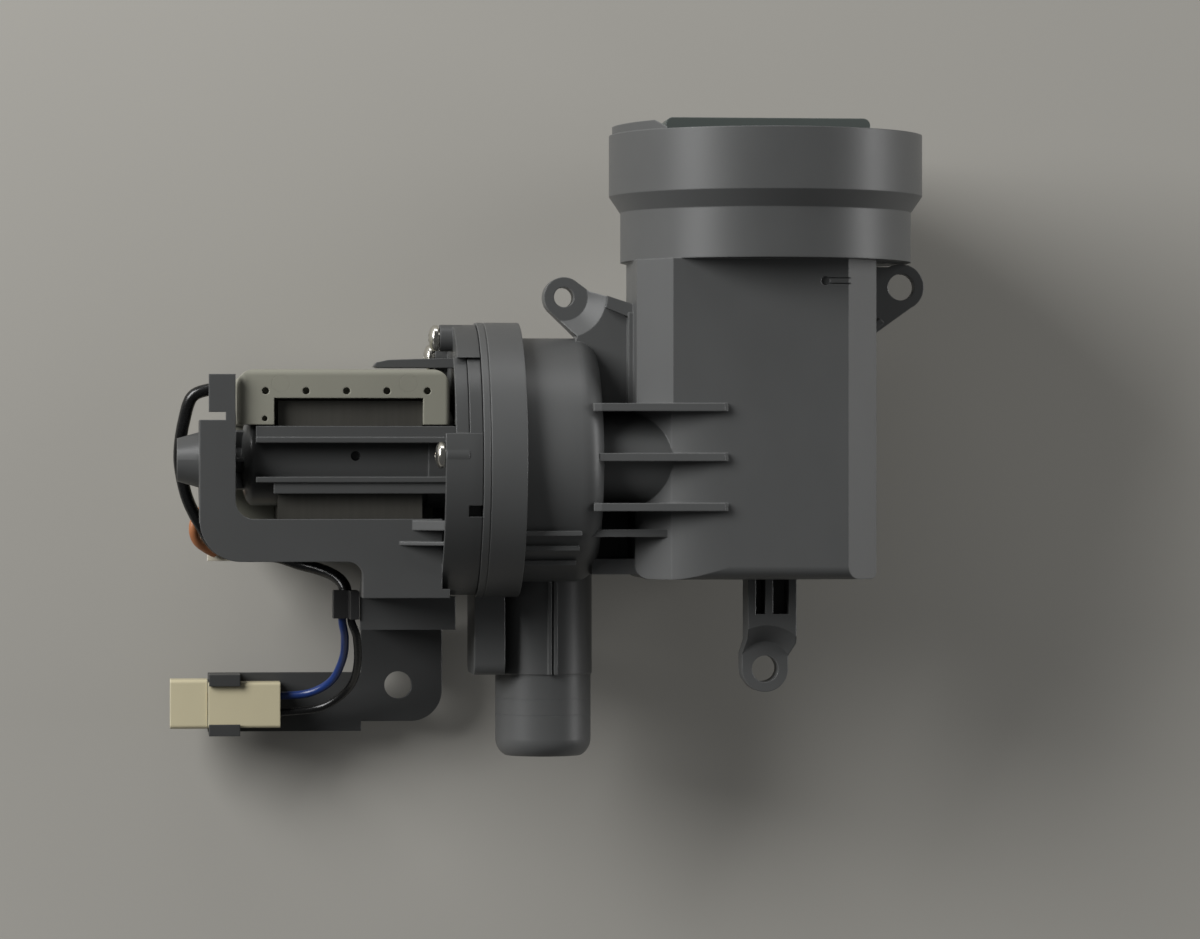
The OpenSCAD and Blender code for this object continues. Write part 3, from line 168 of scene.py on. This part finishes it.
TABLE_TINT = (1, .985, .945)
floor_paint = Finish("table_paint")
cloud = floor_paint.blotches(6)
floor_paint.feed(floor_paint.surface, {
    "Base Color": floor_paint.mixed(cloud, shade(164, TABLE_TINT), shade(170, TABLE_TINT)),
    "Roughness": 0.8})
see_through = floor_paint.node("ShaderNodeBsdfTransparent")
below = floor_paint.node("ShaderNodeNewGeometry", out="Backfacing")
floor_paint.feed(floor_paint.tree.nodes["Material Output"], {"Surface": floor_paint.node(
    "ShaderNodeMixShader", inputs={0: below, 1: Wire(floor_paint.surface.outputs[0]), 2: see_through})})
TABLE_REACH = 12         # metres
floor_mesh = bpy.data.meshes.new("table")
floor_mesh.from_pydata([(x * TABLE_REACH, y * TABLE_REACH, 0) for x, y in
                        ((-1, -1), (1, -1), (1, 1), (-1, 1))], [], [(0, 1, 2, 3)])
floor_mesh.materials.append(floor_paint.material)
floor = bpy.data.objects.new("table", floor_mesh)
bpy.context.scene.collection.objects.link(floor)

ROOM_LIGHT, ROOM_STRENGTH = (0.98, 0.99, 1.0, 1), 0.08
world = bpy.data.worlds.new("studio")
bpy.context.scene.world = world
world.use_nodes = True
room = world.node_tree.nodes["Background"]
room.inputs["Color"].default_value = ROOM_LIGHT
room.inputs["Strength"].default_value = ROOM_STRENGTH
SOFTBOXES = {        # place in metres, width and height, watts
    "left_softbox": ((-1.15, 0.62, 0.74), (1.0, 0.6), 24.5),
    "right_card": ((1.25, 0.25, 0.35), (1.0, 0.4), 9.5),
    "head_card": ((-0.04, 1.30, 0.34), (1.0, 0.4), 3.8)}
for name, (place, size, watts) in SOFTBOXES.items():
    lamp = bpy.data.lights.new(name, "AREA")
    lamp.shape = "RECTANGLE"
    lamp.size, lamp.size_y = size
    lamp.energy = watts
    softbox = bpy.data.objects.new(name, lamp)
    softbox.location = place
    softbox.rotation_euler = (AIM - Vector(place)).to_track_quat("-Z", "Y").to_euler()
    bpy.context.scene.collection.objects.link(softbox)


# Leads.
# Two stranded leads run from the plug to the clip on the frame's foot. From
# there a black sleeve takes them under the arm and round the end of the
# motor to the winding, and a brown lead joins the thermal fuse.
def smooth_line(points, steps):
    """The curve that the CAD leads follow, in metres."""
    line = []
    for i in range(len(points) - 1):
        a, b, c, d = (Vector(points[j]) for j in
                      (max(i - 1, 0), i, i + 1, min(i + 2, len(points) - 1)))
        for step in range(steps):
            t = step / steps
            line.append(0.5 * (2 * b + (c - a) * t + (2 * a - 5 * b + 4 * c - d) * t * t
                               + (3 * b - a - 3 * c + d) * t ** 3) * MM)
    return line + [Vector(points[-1]) * MM]


CREASE = math.radians(40)


def finished(name, shell, finish, stands_for):
    """Turns a bmesh into a piece that rides on the pump in a CAD node's place."""
    bmesh.ops.recalc_face_normals(shell, faces=shell.faces)
    mesh = bpy.data.meshes.new(name)
    shell.to_mesh(mesh)
    shell.free()
    mesh.polygons.foreach_set("use_smooth", [True] * len(mesh.polygons))
    mesh.set_sharp_from_angle(angle=CREASE)
    mesh.materials.append(finish.material)
    piece = bpy.data.objects.new(name, mesh)
    bpy.context.scene.collection.objects.link(piece)
    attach(piece, "pump_body")
    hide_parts(stands_for)


def swept(shell, line, radius):
    """A round tube along a line, closed at both ends."""
    sides = 20
    across = None
    rings = []
    for i, at in enumerate(line):
        ahead = (line[min(i + 1, len(line) - 1)] - line[max(i - 1, 0)]).normalized()
        if across is None:
            across = ahead.orthogonal().normalized()
        across = (across - ahead * across.dot(ahead)).normalized()
        other = ahead.cross(across)
        rings.append([shell.verts.new(at + radius * (math.cos(math.tau * k / sides) * across
                                                     + math.sin(math.tau * k / sides) * other))
                      for k in range(sides)])
    for low, high in zip(rings, rings[1:]):
        for k in range(sides):
            shell.faces.new((low[k], low[(k + 1) % sides], high[(k + 1) % sides], high[k]))
    shell.faces.new(reversed(rings[0]))
    shell.faces.new(rings[-1])


SKIN_DEPTH = 0.02


def insulation(name, colour, glow, roughness):
    """Soft PVC drawn over the strands: a little uneven along its length, with a fine skin."""
    finish = Finish(name)
    wave = finish.blotches(160)
    skin = finish.blotches(2600, 3)
    finish.feed(finish.surface, {
        "Base Color": finish.mixed(wave, colour, glow),
        "Roughness": roughness + (skin - 0.5) * 0.16,
        "Normal": finish.bump(skin, SKIN_DEPTH * MM)})
    return finish


SLEEVE_ROUTE = [(-143.6, 11.4, 46), (-146.4, 11.6, 46), (-150.8, 9.6, 45.4), (-152.9, 3.2, 43.4),
                (-154, -4, 41), (-153.8, -10, 39.6), (-151.9, -18, 37.6), (-148.4, -25, 35.6),
                (-144, -31.2, 34), (-137, -33.5, 33.2), (-128, -33.8, 33), (-121.5, -35.8, 33.6),
                (-115.6, -37.4, 36.6), (-111.4, -39.4, 40), (-109.2, -42.2, 42), (-108.8, -46, 42)]
BLUE_ROUTE = [(-109.95, -46.4, 42), (-109.9, -51.4, 41.4), (-109, -56, 37), (-109.2, -62, 29),
              (-112, -68.4, 21.6), (-118, -72, 17.4), (-125.8, -72.8, 16)]
BLACK_ROUTE = [(-107.65, -46.4, 42), (-107.4, -51.4, 41.6), (-105.8, -56, 38), (-105.3, -64, 30),
               (-107.4, -70.6, 22), (-114.6, -76, 17), (-125.8, -77.4, 16)]
BROWN_ROUTE = [(-143.4, -19.4, 30), (-146.6, -20.2, 31.2), (-149.4, -23, 32.6),
               (-150.2, -26.6, 32.6), (-149.2, -29.6, 31.2), (-146.8, -31.6, 29.4), (-144.2, -33, 28)]
LEAD_R, SLEEVE_R, BROWN_R = 1.1, 1.7, 1.3
STEPS_BETWEEN_POINTS = 8
blue = insulation("blue_insulation", shade(255, (.09, .18, .40)), shade(255, (.12, .23, .48)), 0.3)
black = insulation("black_insulation", shade(11), shade(16), 0.28)
sleeve = insulation("black_sleeve", shade(11), shade(18, (1, 1.02, 1.05)), 0.26)
brown = insulation("brown_insulation", shade(255, (.58, .36, .22)), shade(255, (.68, .45, .30)), 0.4)
for name, stands_for, route, radius, finish, slot in (
        ("blue_wire", "blue_lead", BLUE_ROUTE, LEAD_R, blue, "blue_insulation"),
        ("black_wire", "black_lead", BLACK_ROUTE, LEAD_R, black, "black_insulation"),
        ("black_sleeve", "wire_sleeve", SLEEVE_ROUTE, SLEEVE_R, sleeve, "black_insulation"),
        ("brown_wire", "brown_lead", BROWN_ROUTE, BROWN_R, brown, "brown_insulation")):
    shell = bmesh.new()
    swept(shell, smooth_line(route, STEPS_BETWEEN_POINTS), radius * MM)
    finished(name, shell, finish, stands_for)


# Pump housing.
# Chamber, mouth, volute, outlet, webs and lugs are one grey moulding of
# glass-filled polypropylene. Its skin is satin and a little cloudy from the melt,
# and its sharp edges are painted paler, partly as wear and partly as a painted highlight.
def dress(node, finish):
    """Gives a CAD part its finish."""
    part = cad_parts[node]
    if not part.material_slots:
        part.data.materials.append(finish.material)
    for place in part.material_slots:
        place.material = finish.material


GRAIN_DEPTH, CORNER_R = 0.02, 0.45
EDGE_HIGHLIGHT_GLOW = 2.1        # how much paler an edge is painted, as wear and painted highlight
MARK_GLOW = 0.35         # how far a tool mark goes towards the paler tone
PLASTIC_GLOSS = 0.38


def moulded(name, colour, glow, roughness, edge=0.6, marks=None):
    """Satin moulded plastic: cloudy colour, fine grain, and edges painted paler as wear and painted
    highlight.

    marks takes the finish and gives the share of a shallow tool mark."""
    finish = Finish(name)
    melt = finish.blotches(26, 3)                   # clouds a few centimetres wide
    flow = finish.blotches(90, 4, (1, 0.35, 1))     # streaks where the melt ran in
    fibre = finish.blotches(2200, 2)                # the glass just under the skin
    rubbed_and_highlit, rounded = finish.edges(CORNER_R * MM)
    body = finish.mixed(melt * 0.7 + flow * 0.3, colour, glow)
    # Edges are painted paler here: partly wear, partly a painted highlight.
    wear_and_highlight_tone = tuple(min(1, c * EDGE_HIGHLIGHT_GLOW) for c in glow)
    worn_and_highlit = finish.mixed(rubbed_and_highlit * edge, body, wear_and_highlight_tone)
    finish.feed(finish.surface, {
        "Base Color": worn_and_highlit,
        "Roughness": roughness + (flow - 0.5) * 0.12 + (fibre - 0.5) * 0.10 - rubbed_and_highlit * edge * 0.2,
        "Specular IOR Level": PLASTIC_GLOSS,
        "Normal": finish.bump(fibre, GRAIN_DEPTH * MM, rounded)})
    if marks:
        line = marks(finish)
        finish.feed(finish.surface, {
            "Base Color": finish.mixed(line * MARK_GLOW, worn_and_highlit, glow),
            "Normal": finish.bump(fibre * 0.2 - line, GRAIN_DEPTH * 3 * MM, rounded)})
    return finish


def hose_rings(finish):
    """Faint rings that the sleeve of the tool left round the outlet spigot."""
    x, y = (finish.node("ShaderNodeSeparateXYZ", inputs={"Vector": finish.place}, out=i) for i in (0, 1))
    on_spigot = (x < OUTLET_SIDE * MM) * (y < OUTLET_ROOT * MM)
    rings = sum((abs(y - at * MM) < RING_HALF * MM) for at in OUTLET_RINGS)
    return rings * on_spigot


HOUSING_TINT = (0.99, 1.0, 0.997)
OUTLET_SIDE, OUTLET_ROOT, OUTLET_RINGS, RING_HALF = -40, -60, (-66.4, -72.6, -77.0), 0.14
housing = moulded("housing_plastic", shade(79, HOUSING_TINT), shade(92, HOUSING_TINT), 0.42,
                  marks=hose_rings)
dress("pump_housing", housing)

# Motor side.
# The rotor cover and the motor frame are mouldings of a harder, slightly darker grey.
# The plug's bracket is painted darker still, as painted shade low under the frame, and
# the clip on the foot is nearly black. The gate pit in the barrel is painted dark as painted shade.
GATE_PIT, GATE_PIT_REACH = (-107.3, -6.4, 63.9), 1.35


def paint_shade_near(finish, centre, reach, shade_tone):
    """Paints shade on what lies within reach of a point, in mm."""
    unshaded = Wire(finish.surface.inputs["Base Color"].links[0].from_socket)
    away = finish.node("ShaderNodeVectorMath", {"operation": "DISTANCE"},
                       {0: finish.place, 1: Vector(centre) * MM}, out="Value")
    finish.feed(finish.surface, {"Base Color": finish.mixed(away < reach * MM, unshaded, shade_tone)})


cover = moulded("cover_plastic", shade(73, HOUSING_TINT), shade(82, HOUSING_TINT), 0.33)
# The gate pit in the barrel is painted dark as painted shade in its hollow.
paint_shade_near(cover, GATE_PIT, GATE_PIT_REACH, shade(9))
frame_grey = moulded("frame_plastic", shade(72, HOUSING_TINT), shade(80, HOUSING_TINT), 0.40)
# The bracket's grey is painted darker than the frame's, as painted shade where it lies low under the
# frame.
bracket = moulded("bracket_plastic", shade(58, HOUSING_TINT), shade(67, HOUSING_TINT), 0.45)
clip = moulded("clip_plastic", shade(42), shade(48), 0.5)
for node, finish in (("rotor_cover", cover), ("motor_frame", frame_grey),
                     ("connector_bracket", bracket), ("wire_clip", clip)):
    dress(node, finish)

# Screws.
# Five plated pan-head screws clamp the frame and the rotor cover to the
# housing, and two small ones hold the bracket. Their heads are bright zinc
# with a cross recess, and the thread is rolled.
HAZE_TONE, PIT_DEPTH = shade(206, (1, .99, .96)), 0.008


def plated(name, colour, roughness):
    """Bright metal with a thin haze and fine pits."""
    finish = Finish(name)
    haze = finish.blotches(900, 3)
    pits = finish.blotches(3500, 2)
    finish.feed(finish.surface, {
        "Base Color": finish.mixed(haze, colour, HAZE_TONE),
        "Metallic": 1.0,
        "Roughness": roughness + (haze - 0.5) * 0.14,
        "Normal": finish.bump(pits, PIT_DEPTH * MM)})
    return finish


zinc = plated("screw_zinc", shade(226, (1, .985, .94)), 0.22)


def lathe(shell, profile):
    """Turns a profile of (radius, height) in mm about Z."""
    sides = 40
    rings = []
    for radius, height in profile:
        if radius < 1e-6:
            rings.append([shell.verts.new((0, 0, height * MM))])
        else:
            rings.append([shell.verts.new((
                radius * MM * math.cos(math.tau * k / sides),
                radius * MM * math.sin(math.tau * k / sides), height * MM)) for k in range(sides)])
    for low, high in zip(rings, rings[1:]):
        for k in range(sides):
            n = (k + 1) % sides
            if len(low) == 1:
                shell.faces.new((low[0], high[n], high[k]))
            elif len(high) == 1:
                shell.faces.new((low[k], low[n], high[0]))
            else:
                shell.faces.new((low[k], low[n], high[n], high[k]))


def pan_screw(head_r, head_h, shank_r, length, recess):
    """A pan-head screw, head up along +Z from its bearing face at 0, as a bmesh."""
    side, crown, lip = 0.42, 0.58, 0.15        # shares of the head's height
    pitch, thread_depth, plain, chamfer = 0.7, 0.3, 0.6, 0.15
    dome = [(0.0, head_h)] + [
        (head_r * math.sin(a), head_h * (side + crown * math.cos(a)))
        for a in (math.radians(d) for d in (15, 30, 45, 60, 75, 85, 90))]
    thread = []
    turns = int(length / pitch)
    for i in range(turns):
        z = -plain - i * (length - 2 * plain) / turns
        thread += [(shank_r, z), (shank_r - thread_depth, z - pitch / 2)]
    profile = (dome + [(head_r, head_h * lip), (head_r - chamfer, 0.0), (shank_r, 0.0)] + thread
               + [(shank_r - 2 * thread_depth, -length), (0.0, -length)])
    shell = bmesh.new()
    lathe(shell, profile)
    mesh = bpy.data.meshes.new("screw_blank")
    bmesh.ops.recalc_face_normals(shell, faces=shell.faces)
    shell.to_mesh(mesh)
    shell.free()
    wing_width, wing_taper, wing_middle = 0.36, 0.45, 0.98
    cross = bmesh.new()
    for turned in (0, 90):
        wing = bmesh.ops.create_cube(cross, size=1.0)["verts"]
        bmesh.ops.scale(cross, verts=wing, vec=(2 * recess * MM, wing_width * recess * MM, head_h * MM))
        bmesh.ops.translate(cross, verts=wing, vec=(0, 0, head_h * wing_middle * MM))
        for v in wing:
            if v.co.z < head_h * MM:
                v.co.x *= wing_taper
        bmesh.ops.rotate(cross, verts=wing, matrix=Matrix.Rotation(math.radians(turned), 3, "Z"))
    cutter_mesh = bpy.data.meshes.new("recess_cutter")
    cross.to_mesh(cutter_mesh)
    cross.free()
    blank = bpy.data.objects.new("screw_blank", mesh)
    cutter = bpy.data.objects.new("recess_cutter", cutter_mesh)
    for o in (blank, cutter):
        bpy.context.scene.collection.objects.link(o)
    cut = blank.modifiers.new("recess", "BOOLEAN")
    cut.operation, cut.object, cut.solver, cut.use_self = "DIFFERENCE", cutter, "EXACT", True
    bpy.context.view_layer.update()
    made = bmesh.new()
    made.from_object(blank, bpy.context.evaluated_depsgraph_get())
    for o in (blank, cutter):
        bpy.data.objects.remove(o)
    return made


def place_copies(one, places):
    """One shell made of a copy of another at each place."""
    shell = bmesh.new()
    rest = bpy.data.meshes.new("copied")
    one.to_mesh(rest)
    for place in places:
        before = len(shell.verts)
        shell.from_mesh(rest)
        shell.verts.ensure_lookup_table()
        bmesh.ops.transform(shell, matrix=place, verts=shell.verts[before:])
    one.free()
    return shell


PUMP_Y, AXIS_Z = -7.4, 52.0
SCREW_CIRCLE, SCREW_ANGLES, HEADS_AT = 33.2, (2, 82, 122, 244, 288), -84.7
FIRST_TURN, NEXT_TURN, FOOT_TURN = 17, 31, 20        # no two recesses stand alike
facing_motor = Matrix.Rotation(math.radians(-90), 4, "Y")
places = [Matrix.Translation(Vector((
    HEADS_AT, PUMP_Y + SCREW_CIRCLE * math.sin(math.radians(a)),
    AXIS_Z + SCREW_CIRCLE * math.cos(math.radians(a)))) * MM)
    @ facing_motor @ Matrix.Rotation(math.radians(FIRST_TURN + NEXT_TURN * i), 4, "Z")
    for i, a in enumerate(SCREW_ANGLES)]
cover_screw = pan_screw(head_r=3.5, head_h=2.6, shank_r=1.8, length=18.0, recess=2.0)
finished("cover_screw_set", place_copies(cover_screw, places), zinc, "cover_screws")
FOOT_SCREWS, LEDGE_SCREW_Y, LEG_TOP, LEG_WALL = (-97.7, -87.7), -47.9, 53.4, 2.2
below_leg = Matrix.Rotation(math.radians(180), 4, "X")
places = [Matrix.Translation(Vector((x, LEDGE_SCREW_Y, LEG_TOP - LEG_WALL)) * MM)
          @ below_leg @ Matrix.Rotation(math.radians(FOOT_TURN + x), 4, "Z")
          for x in FOOT_SCREWS]
bracket_screw = pan_screw(head_r=2.8, head_h=2.0, shank_r=1.5, length=3.5, recess=1.7)
finished("bracket_screw_set", place_copies(bracket_screw, places), zinc,
         "bracket_screws")

# Stator.
# The core is a stack of varnished electrical sheet. Its windings sit inside
# a warm grey case of glass-filled nylon, welded shut, with pin marks in its
# upper face, and end in two tinned tabs.
VARNISH_DEPTH = 0.01
varnish = Finish("lamination_varnish")
sheet_tone = varnish.blotches(700, 2, (1, 0.02, 0.02))
stain = varnish.blotches(120, 3)
varnish.feed(varnish.surface, {
    "Base Color": varnish.mixed(sheet_tone, shade(66, (1, .98, .90)), shade(76, (1, .98, .91))),
    "Metallic": 0.3,
    "Roughness": 0.42 + stain * 0.2,
    "Normal": varnish.bump(sheet_tone, VARNISH_DEPTH * MM)})
dress("stator_core", varnish)

CASE_TINT = (1.0, 0.993, 0.905)
PIN_CIRCLES, PIN_CIRCLE_R, PIN_LINE_HALF = ((-127.4, 12.9), (-93.3, 13.0)), 2.4, 0.13


def pin_circles(finish):
    """Witness rings of the two pins that pushed the case out of its tool."""
    flat = finish.node("ShaderNodeVectorMath", {"operation": "MULTIPLY"},
                       {0: finish.place, 1: (1, 1, 0)})
    rings = 0.0
    for x, y in PIN_CIRCLES:
        reach = finish.node("ShaderNodeVectorMath", {"operation": "DISTANCE"},
                            {0: flat, 1: (x * MM, y * MM, 0)}, out="Value")
        rings = (abs(reach - PIN_CIRCLE_R * MM) < PIN_LINE_HALF * MM) + rings
    return rings


case = moulded("case_nylon", shade(132, CASE_TINT), shade(142, CASE_TINT), 0.5, edge=0.35,
               marks=pin_circles)
dress("coil_case", case)
FUSE_TINT = (1, .97, .88)
fuse = moulded("fuse_body", shade(200, FUSE_TINT), shade(210, FUSE_TINT), 0.5)
dress("thermal_fuse", fuse)
enamel = plated("copper_enamel", shade(255, (.72, .40, .22)), 0.3)
dress("stator_coils", enamel)
tin = plated("tinned_brass", shade(255, (.78, .72, .50)), 0.3)
for node in ("coil_terminals", "plug_contacts"):
    dress(node, tin)

# Rotor.
# The magnet turns in the wet barrel on a steel shaft and two carbon bushes
# held by rubber, of which the seals are made too. The impeller sits in the
# volute on the shaft's front end.
ferrite = moulded("magnet_ferrite", shade(60), shade(68), 0.45)
steel = plated("shaft_steel", shade(220), 0.18)
carbon = moulded("bearing_carbon", shade(50), shade(58), 0.5)
rubber = moulded("seal_rubber", shade(34), shade(40), 0.6, edge=0.2)
WASHER_TINT = (1, .9, .7)
washer = moulded("washer_resin", shade(180, WASHER_TINT), shade(190, WASHER_TINT), 0.5)
blades = moulded("impeller_plastic", shade(112), shade(120), 0.45)
for node, finish in (("rotor_magnet", ferrite), ("rotor_shaft", steel), ("front_bearing", carbon),
                     ("rear_bearing", carbon), ("bearing_carrier", rubber), ("cover_seal", rubber),
                     ("thrust_washers", washer), ("impeller", blades), ("cap_seal", rubber)):
    dress(node, finish)

# Plug.
# A two-pole plug of cream nylon with its retaining collar, held between the
# bracket's two ears.
PLUG_TINT = (1.0, 0.955, 0.80)
plug = moulded("plug_nylon", shade(198, PLUG_TINT), shade(208, PLUG_TINT), 0.45, edge=0.3)
for node in ("plug_housing", "plug_collar"):
    dress(node, plug)

# Filter.
# The lint cage and its cap lift out through the mouth. The cage is a paler
# polypropylene than the housing, and the cap is a dark green-grey.
cage = moulded("filter_plastic", shade(128), shade(136), 0.45)
CAP_TINT = (.96, 1.03, 1.0)
cap = moulded("cap_plastic", shade(74, CAP_TINT), shade(84, CAP_TINT), 0.42)
dress("filter_basket", cage)
dress("filter_cap", cap)
